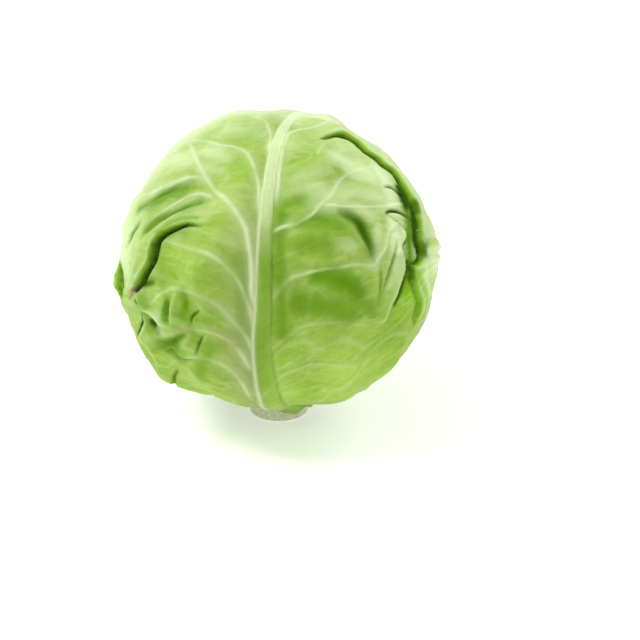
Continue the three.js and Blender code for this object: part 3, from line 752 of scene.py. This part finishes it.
            # The crest's painted highlight; the painted shadow dims the paleness under it
            pale = np.maximum(pale * (1 - 0.8 * painted_shadow), top)
        for amount, half_width, pixels in WRINKLES:
            path = unit(smooth_path(directions_of_pixels(pixels, leaf)))
            near = near_path(direction, path, 3 * half_width)
            distance, share, _, _, _ = measure_to_path(direction[near], path)
            taper = np.sin(np.pi * np.clip(share * 0.9 + 0.05, 0, 1)) ** 0.7
            dent = np.exp(-(distance / half_width) ** 2) * taper
            height[near] += amount * dent
            # Creases get painted shade, and painted shadow where they are deep; ridges get a painted highlight
            if amount < 0:
                dark_rib_and_painted_shade[near] = np.maximum(dark_rib_and_painted_shade[near], dent * min(-amount, 1))
                painted_shadow[near] = np.maximum(painted_shadow[near], dent * smoothstep(-amount, 1.2, 2.4))
            else:
                pale[near] = np.maximum(pale[near], 0.1 * amount ** 2 * dent)
        toned = ((SATURATED_PLACES, saturated), (PAINTED_SHADE_PLACES, dark_rib_and_painted_shade), (PAINTED_LIGHT_PLACES, light), (PAINTED_SHADOW_PLACES, painted_shadow),
                 (SCAR_PLACES, scar))
        for places, mask in toned:
            for amount, half_width, pixels in places:
                path = unit(smooth_path(directions_of_pixels(pixels, leaf)))
                near = near_path(direction, path, 3.5 * half_width)
                distance = measure_to_path(direction[near], path)[0]
                ragged = distance * (1 + 0.4 * lattice_noise(direction[near] * OUTER_RADIUS, 8, 90)
                                     + 0.25 * lattice_noise(direction[near] * OUTER_RADIUS, 3.5, 91))
                mask[near] = np.maximum(mask[near], amount * np.exp(-(ragged / half_width) ** 2))

    # Painted shade spreads round each core of painted shadow; paleness is held back there and painted light taken out
    shadow = smoothstep(painted_shadow, 0.1, 0.7)
    dark_rib_and_painted_shade = np.maximum(dark_rib_and_painted_shade * (1 - smoothstep(pale, 0.3, 0.6)), shadow)
    pale = pale * (1 - dark_rib_and_painted_shade)
    light = light * (1 - np.maximum(shadow, saturated))
    if outer:
        thickness = BLADE * (1 - 0.35 * smoothstep(edge, 0.9, 1))
        height = height + thickness + relief
    point = point + normal * height[:, None] + slide
    across = np.maximum(np.hypot(point[:, 0], point[:, 1]), 0.1)
    push = np.where(point[:, 2] < CENTRE[2], np.maximum((STEM_RADIUS + 0.8) / across, 1), 1)
    point[:, :2] *= push[:, None]
    bloom = np.where(rib_signed > 4, np.exp(-((rib_signed - 4) / 18) ** 2), np.exp(-((rib_signed - 4) / 2.5) ** 2))
    bloom *= 1 - 0.7 * smoothstep(along, 110, 150)
    # Paler toward the margins: partly the leaf's own paler margin, partly painted sheen on the rims
    margin = smoothstep(edge, 0.5, 1.0) * smoothstep(along, 70, 120)
    masks = dict(pale=pale, painted_shadow=painted_shadow, saturated=saturated, dark_rib_and_painted_shade=dark_rib_and_painted_shade, light=light, scar=scar, edge=margin, bloom=bloom)
    uv = np.stack([side_mm, along_mm], axis=1) / 100
    return point, masks, uv


def mesh_from(name, points, faces, masks=None, uv=None):
    mesh = bpy.data.meshes.new(name)
    mesh.from_pydata((points * MM).tolist(), [], faces)
    mesh.polygons.foreach_set("use_smooth", np.ones(len(faces), dtype=bool))
    for key, values in (masks or {}).items():
        attribute = mesh.attributes.new(key, "FLOAT", "POINT")
        attribute.data.foreach_set("value", np.ascontiguousarray(values, dtype=np.float32))
    if uv is not None:
        layer = mesh.uv_layers.new(name="leaf")
        corner = np.empty(len(mesh.loops), dtype=np.int32)
        mesh.loops.foreach_get("vertex_index", corner)
        layer.data.foreach_set("uv", uv[corner].astype(np.float32).ravel())
    mesh.update()
    thing = bpy.data.objects.new(name, mesh)
    bpy.context.scene.collection.objects.link(thing)
    return thing


def grid_faces(rows, columns, first, flip):
    i, j = np.meshgrid(np.arange(rows - 1), np.arange(columns - 1), indexing="ij")
    a = (first + i * columns + j).ravel()
    quads = np.stack([a, a + 1, a + columns + 1, a + columns], axis=1)
    return quads[:, ::-1] if flip else quads


def boundary(rows, columns, first):
    """Corner numbers round a grid's edge."""
    at = first + np.arange(rows * columns).reshape(rows, columns)
    return np.concatenate([at[0, :-1], at[:-1, -1], at[-1, :0:-1], at[:0:-1, 0]])


def build_leaf(leaf, rows, columns):
    """A leaf as one closed blade, its inner face half as fine as its outer one."""
    rib, veins = rib_paths(leaf)
    outer, masks, uv = shape_leaf(leaf, rib, veins, rows, columns, True)
    inner_rows = (rows - 1) // 2 + 1
    inner_columns = (columns - 1) // 2 + 1
    inner, inner_masks, inner_uv = shape_leaf(leaf, rib, veins, inner_rows, inner_columns, False)
    faces = grid_faces(rows, columns, 0, False).tolist()
    faces += grid_faces(inner_rows, inner_columns, len(outer), True).tolist()
    rim = boundary(rows, columns, 0)
    low = boundary(inner_rows, inner_columns, len(outer))
    for k in range(len(low)):
        a, b, c = rim[2 * k], rim[2 * k + 1], rim[(2 * k + 2) % len(rim)]
        d, e = low[k], low[(k + 1) % len(low)]
        faces += [[int(a), int(d), int(b)], [int(b), int(d), int(e)], [int(b), int(e), int(c)]]
    points = np.vstack([outer, inner])
    both = {key: np.concatenate([masks[key], inner_masks[key]]) for key in masks}
    return mesh_from(f"leaf_{leaf['order'] + 1}", points, faces, both, np.vstack([uv, inner_uv]))


# Materials
def new_material(name):
    material = bpy.data.materials.new(name)
    material.use_nodes = True
    tree = material.node_tree
    tree.nodes.clear()
    output = tree.nodes.new("ShaderNodeOutputMaterial")
    shader = tree.nodes.new("ShaderNodeBsdfPrincipled")
    tree.links.new(shader.outputs[0], output.inputs["Surface"])
    return material, tree, shader


def attribute(tree, name):
    node = tree.nodes.new("ShaderNodeAttribute")
    node.attribute_name = name
    return node.outputs["Fac"]


def math_node(tree, operation, a, b=None, clamp=False):
    node = tree.nodes.new("ShaderNodeMath")
    node.operation = operation
    node.use_clamp = clamp
    for socket, value in zip(node.inputs, (a, b)):
        if value is None:
            continue
        if isinstance(value, (int, float)):
            socket.default_value = value
        else:
            tree.links.new(value, socket)
    return node.outputs[0]


def mix_colour(tree, factor, a, b):
    node = tree.nodes.new("ShaderNodeMix")
    node.data_type = "RGBA"
    if isinstance(factor, (int, float)):
        node.inputs[0].default_value = factor
    else:
        tree.links.new(factor, node.inputs[0])
    for socket, value in ((node.inputs[6], a), (node.inputs[7], b)):
        if isinstance(value, tuple):
            socket.default_value = value + (1,)
        else:
            tree.links.new(value, socket)
    return node.outputs[2]


def ramp(tree, value, stops):
    node = tree.nodes.new("ShaderNodeValToRGB")
    tree.links.new(value, node.inputs[0])
    while len(node.color_ramp.elements) < len(stops):
        node.color_ramp.elements.new(0.5)
    for element, (place, level) in zip(node.color_ramp.elements, stops):
        element.position = place
        element.color = (level, level, level, 1)
    return node.outputs[0]


def noise(tree, vector, scale, detail, roughness=0.5):
    node = tree.nodes.new("ShaderNodeTexNoise")
    tree.links.new(vector, node.inputs["Vector"])
    node.inputs["Scale"].default_value = scale
    node.inputs["Detail"].default_value = detail
    node.inputs["Roughness"].default_value = roughness
    return node.outputs[0]


def leaf_material(name, green, light, dark_green, pale_green, shadow_green, saturated_green, vein, bloom):
    """Leaf tissue: a mottled green with pale veins, a fine net of small veins and a dull waxy bloom, with painted
    shade, shadow, light, highlights and sheen mixed in from its masks.
    """
    material, tree, shader = new_material(name)
    uv = tree.nodes.new("ShaderNodeUVMap")
    uv.uv_map = "leaf"
    place = uv.outputs[0]
    broad = noise(tree, place, 3.2, 3)
    mottle = noise(tree, place, 22, 5, 0.6)
    tone = math_node(tree, "ADD", math_node(tree, "MULTIPLY", broad, 1.5), math_node(tree, "MULTIPLY", mottle, 0.6))
    tone = ramp(tree, math_node(tree, "MULTIPLY", tone, 0.5), [(0.32, 0.0), (0.72, 1.0)])
    split = tree.nodes.new("ShaderNodeSeparateXYZ")
    tree.links.new(place, split.inputs[0])
    aside = math_node(tree, "ABSOLUTE", split.outputs[0])
    up = math_node(tree, "SUBTRACT", split.outputs[1], math_node(tree, "MULTIPLY", aside, 0.3))
    drawn = tree.nodes.new("ShaderNodeCombineXYZ")
    tree.links.new(math_node(tree, "MULTIPLY", split.outputs[0], 7), drawn.inputs[0])
    tree.links.new(math_node(tree, "MULTIPLY", up, 34), drawn.inputs[1])
    streak = noise(tree, drawn.outputs[0], 1.0, 4, 0.6)
    tone = math_node(tree, "ADD", tone, math_node(tree, "MULTIPLY", math_node(tree, "SUBTRACT", streak, 0.5), 0.9), True)
    colour = mix_colour(tree, tone, green, light)

    net = tree.nodes.new("ShaderNodeTexVoronoi")
    net.feature = "DISTANCE_TO_EDGE"
    net.inputs["Scale"].default_value = 14
    warp = tree.nodes.new("ShaderNodeVectorMath")
    warp.operation = "MULTIPLY_ADD"
    warp_noise = tree.nodes.new("ShaderNodeTexNoise")
    warp_noise.inputs["Scale"].default_value = 16
    tree.links.new(place, warp_noise.inputs["Vector"])
    tree.links.new(warp_noise.outputs["Color"], warp.inputs[0])
    warp.inputs[1].default_value = (0.06, 0.06, 0)
    tree.links.new(place, warp.inputs[2])
    tree.links.new(warp.outputs[0], net.inputs["Vector"])
    thread = ramp(tree, net.outputs["Distance"], [(0.0, 1.0), (0.07, 0.0)])
    plain = math_node(tree, "SUBTRACT", 1.0, attribute(tree, "pale"), True)
    thread = math_node(tree, "MULTIPLY", thread, math_node(tree, "MULTIPLY", plain, plain))
    colour = mix_colour(tree, math_node(tree, "MULTIPLY", thread, 0.06), colour, vein)

    # Paler margins: partly their own colour, partly painted sheen
    edge = attribute(tree, "edge")
    colour = mix_colour(tree, math_node(tree, "MULTIPLY", edge, 0.75), colour, pale_green)
    # Painted light: a pale green where the leaf is lit
    colour = mix_colour(tree, attribute(tree, "light"), colour, pale_green)
    wax = math_node(tree, "MULTIPLY", attribute(tree, "bloom"), 0.9)
    wax = math_node(tree, "MULTIPLY", wax, ramp(tree, broad, [(0.3, 0.6), (0.7, 1.0)]))
    colour = mix_colour(tree, wax, colour, bloom)
    # Darker green: the midrib's lower body, and painted shade
    colour = mix_colour(tree, attribute(tree, "dark_rib_and_painted_shade"), colour, dark_green)
    colour = mix_colour(tree, attribute(tree, "saturated"), colour, saturated_green)
    # Pale veins, with painted highlights on the midrib's edges, the fold crests and the ridges
    colour = mix_colour(tree, attribute(tree, "pale"), colour, vein)
    colour = mix_colour(tree, attribute(tree, "scar"), colour, (0.30, 0.24, 0.10))
    # Painted shadow: a near-black green where the leaf lies in deep shade
    colour = mix_colour(tree, math_node(tree, "MULTIPLY", attribute(tree, "painted_shadow"), 0.97), colour, shadow_green)
    tree.links.new(colour, shader.inputs["Base Color"])

    rough = math_node(tree, "ADD", math_node(tree, "MULTIPLY", mottle, 0.2), 0.36)
    tree.links.new(rough, shader.inputs["Roughness"])
    shader.inputs["Specular IOR Level"].default_value = 0.03
    shader.inputs["Subsurface Weight"].default_value = 0.35
    shader.inputs["Subsurface Radius"].default_value = (0.7, 1.0, 0.25)
    shader.inputs["Subsurface Scale"].default_value = 0.003
    shader.inputs["Sheen Weight"].default_value = 0.05
    shader.inputs["Sheen Roughness"].default_value = 0.25

    grain = noise(tree, place, 120, 3)
    height = math_node(tree, "ADD", math_node(tree, "MULTIPLY", thread, 0.12), math_node(tree, "MULTIPLY", grain, 0.25))
    height = math_node(tree, "ADD", height, math_node(tree, "MULTIPLY", mottle, 0.7))
    height = math_node(tree, "ADD", height, math_node(tree, "MULTIPLY", streak, 0.6))
    bump = tree.nodes.new("ShaderNodeBump")
    bump.inputs["Strength"].default_value = 0.6
    bump.inputs["Distance"].default_value = 0.0009
    tree.links.new(height, bump.inputs["Height"])
    tree.links.new(bump.outputs[0], shader.inputs["Normal"])
    return material


def stem_material():
    material, tree, shader = new_material("cut_stem")
    texture = tree.nodes.new("ShaderNodeTexCoord")
    place = texture.outputs["Object"]
    fibres = noise(tree, place, 420, 4)
    stain = noise(tree, place, 60, 4)
    colour = mix_colour(tree, ramp(tree, fibres, [(0.35, 0.0), (0.7, 1.0)]), (0.62, 0.66, 0.40), (0.80, 0.80, 0.60))
    colour = mix_colour(tree, ramp(tree, stain, [(0.55, 0.0), (0.75, 0.5)]), colour, (0.50, 0.44, 0.24))
    tree.links.new(colour, shader.inputs["Base Color"])
    shader.inputs["Roughness"].default_value = 0.6
    shader.inputs["Subsurface Weight"].default_value = 0.2
    shader.inputs["Subsurface Scale"].default_value = 0.002
    bump = tree.nodes.new("ShaderNodeBump")
    bump.inputs["Strength"].default_value = 0.5
    bump.inputs["Distance"].default_value = 0.0006
    tree.links.new(fibres, bump.inputs["Height"])
    tree.links.new(bump.outputs[0], shader.inputs["Normal"])
    return material


lay_folds(LEAVES[0])
OUTER = leaf_material("outer_leaf", green=(0.19, 0.335, 0.024), light=(0.36, 0.52, 0.095),
                      dark_green=(0.11, 0.26, 0.003), pale_green=(0.62, 0.76, 0.42), shadow_green=(0.012, 0.045, 0.0005),
                      saturated_green=(0.23, 0.46, 0.015), vein=(0.66, 0.75, 0.48), bloom=(0.245, 0.265, 0.11))
INNER = leaf_material("inner_leaf", green=(0.32, 0.52, 0.10), light=(0.50, 0.68, 0.22),
                      dark_green=(0.20, 0.40, 0.04), pale_green=(0.56, 0.70, 0.30), shadow_green=(0.16, 0.36, 0.03),
                      saturated_green=(0.36, 0.62, 0.06), vein=(0.70, 0.80, 0.50), bloom=(0.50, 0.62, 0.32))

# The leaves
for leaf in LEAVES:
    fine = (301, 261) if leaf["order"] == 0 else (201, 181)
    piece = build_leaf(leaf, *fine)
    piece.data.materials.append(OUTER)
    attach(piece, "root")
    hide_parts(f"wrapper_leaf_{leaf['order'] + 1}")


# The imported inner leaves: a round body with the edges of its outer leaves as steps
INNER_STEPS = [dict(azimuth=60, reach=208, spread=74), dict(azimuth=197, reach=204, spread=70),
               dict(azimuth=-45, reach=196, spread=66)]


def build_inner_head():
    rows, columns = 181, 240
    polar = np.linspace(0.001, math.pi - 0.001, rows)[:, None]
    round_ = np.linspace(0, 2 * math.pi, columns, endpoint=False)[None, :]
    direction = np.stack([np.sin(polar) * np.cos(round_), np.sin(polar) * np.sin(round_),
                          np.cos(polar) * np.ones_like(round_)], axis=-1).reshape(-1, 3)
    point, normal = surface_at(direction)
    sink = np.full(len(direction), 2.7)
    pale = np.zeros(len(direction))
    for step in INNER_STEPS:
        plain = dict(azimuth=step["azimuth"], lean=0, middle=step["reach"] / 2)
        plain["frame"] = leaf_frame(plain)
        along, sideways = angles_of(plain, direction)
        distance = np.hypot((along - plain["middle"]) / (step["reach"] / 2), sideways / step["spread"])
        inside = 1 - smoothstep(distance, 0.995, 1.005)
        sink -= 0.9 * inside
        vein_wave = np.abs(np.sin(np.radians(along * 6) - np.radians(np.abs(sideways) * 5)))
        vein_line = np.exp(-(vein_wave / 0.12) ** 2) * inside
        rib_line = np.exp(-(np.radians(sideways) * INNER_RADIUS / 3) ** 2) * inside
        sink -= 0.4 * vein_line + 1.0 * rib_line
        pale = np.maximum(pale * (1 - inside), np.maximum(vein_line * 0.7, rib_line))
    point = point - normal * sink[:, None]
    across = np.hypot(point[:, 0], point[:, 1])
    hole = (point[:, 2] < 50) & (across < STEM_RADIUS + 1.5)
    point[hole, 2] = np.maximum(point[hole, 2], STEM_TOP + 2)
    a = np.arange(rows * columns).reshape(rows, columns)
    b = np.roll(a, -1, axis=1)
    quads = np.stack([a[:-1], a[1:], b[1:], b[:-1]], axis=-1).reshape(-1, 4).tolist()
    quads += [a[0].tolist(), a[-1][::-1].tolist()]
    uv = np.stack([np.arctan2(direction[:, 1], direction[:, 0]), np.arccos(direction[:, 2])], axis=1)
    none = np.zeros(len(point))
    masks = dict(pale=pale, painted_shadow=none, saturated=none, dark_rib_and_painted_shade=none, light=none, scar=none, edge=none, bloom=none)
    return mesh_from("head_of_leaves", point, quads, masks, uv * INNER_RADIUS / 100)


inner_head = build_inner_head()
inner_head.data.materials.append(INNER)
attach(inner_head, "root")
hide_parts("inner_head")


def build_stem():
    rows, columns = 60, 160
    angle = np.linspace(0, 2 * math.pi, columns, endpoint=False)
    profile = [(0.3, 0.0)]
    profile += [(r, 0.0) for r in np.linspace(2, STEM_RADIUS - 1.2, 22)]
    profile += [(STEM_RADIUS - 1.2 * (1 - math.sin(t)), 1.2 * (1 - math.cos(t))) for t in np.linspace(0.2, math.pi / 2, 6)]
    profile += [(STEM_RADIUS + (STEM_TOP_RADIUS - STEM_RADIUS) * t, 1.2 + (STEM_TOP - 1.2) * t)
                for t in np.linspace(0.04, 1, rows)]
    profile += [(0.3, STEM_TOP)]
    profile = np.array(profile)
    radius = profile[:, :1] * np.ones_like(angle)[None, :]
    z = profile[:, 1:] * np.ones_like(angle)[None, :]
    point = np.stack([radius * np.cos(angle), radius * np.sin(angle), z], axis=-1).reshape(-1, 3)
    side = smoothstep(point[:, 2], 0.6, 3)
    ridges = 0.35 * np.sin(9 * np.tile(angle, len(profile))) + 0.5 * lattice_noise(point, 6, 70)
    scale = 1 - side * (0.5 - ridges) * 0.02
    face = 1 - side
    point[:, :2] *= scale[:, None]
    rings = 0.25 * (1 + lattice_noise(point, 2.2, 71)) * face * smoothstep(radius.ravel(), 0, 4)
    point[:, 2] += rings * (radius.ravel() < STEM_RADIUS - 3)
    a = np.arange(len(point)).reshape(len(profile), columns)
    b = np.roll(a, -1, axis=1)
    quads = np.stack([a[:-1], b[:-1], b[1:], a[1:]], axis=-1).reshape(-1, 4).tolist()
    quads += [a[0][::-1].tolist(), a[-1].tolist()]
    return mesh_from("stump", point, quads)


stump = build_stem()
stump.data.materials.append(stem_material())
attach(stump, "root")
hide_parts("stem")


# Floor, light and camera
def build_floor():
    bpy.ops.mesh.primitive_plane_add(size=8, location=(0, 0, 0))
    floor = bpy.context.object
    floor.name = "floor"
    material, tree, shader = new_material("floor")
    shader.inputs["Base Color"].default_value = (0.96, 0.96, 0.96, 1)
    shader.inputs["Emission Color"].default_value = (1, 1, 1, 1)
    shader.inputs["Emission Strength"].default_value = 0.35
    shader.inputs["Roughness"].default_value = 0.7
    floor.data.materials.append(material)


def area_light(name, place, size, energy, colour=(1, 1, 1)):
    light = bpy.data.lights.new(name, "AREA")
    light.shape = "DISK"
    light.size = size
    light.energy = energy
    light.color = colour
    thing = bpy.data.objects.new(name, light)
    bpy.context.scene.collection.objects.link(thing)
    thing.location = place
    target = bpy.data.objects.new(name + "_aim", None)
    aim = (np.array([0, 0, 0.09]) - np.array(place))
    from mathutils import Vector
    thing.rotation_euler = Vector(aim.tolist()).to_track_quat("-Z", "Y").to_euler()
    bpy.data.objects.remove(target)


build_floor()
world = bpy.data.worlds.new("studio")
bpy.context.scene.world = world
world.use_nodes = True
world.node_tree.nodes["Background"].inputs[0].default_value = (1, 1, 1, 1)
world.node_tree.nodes["Background"].inputs[1].default_value = 0.54
area_light("key", (-0.85, -0.2, 1.6), 1.0, 25)
area_light("fill", (1.2, -0.8, 0.7), 1.2, 4)
area_light("back", (1.1, 0.8, 1.1), 0.8, 7)

camera_data = bpy.data.cameras.new("camera")
camera_data.lens = LENS
camera_data.sensor_width = SENSOR
camera = bpy.data.objects.new("camera", camera_data)
bpy.context.scene.collection.objects.link(camera)
camera.location = (CAMERA * MM).tolist()
camera.rotation_euler = (math.pi / 2 - ELEVATION, 0, 0)
bpy.context.scene.camera = camera
bpy.context.scene.view_settings.view_transform = "Standard"
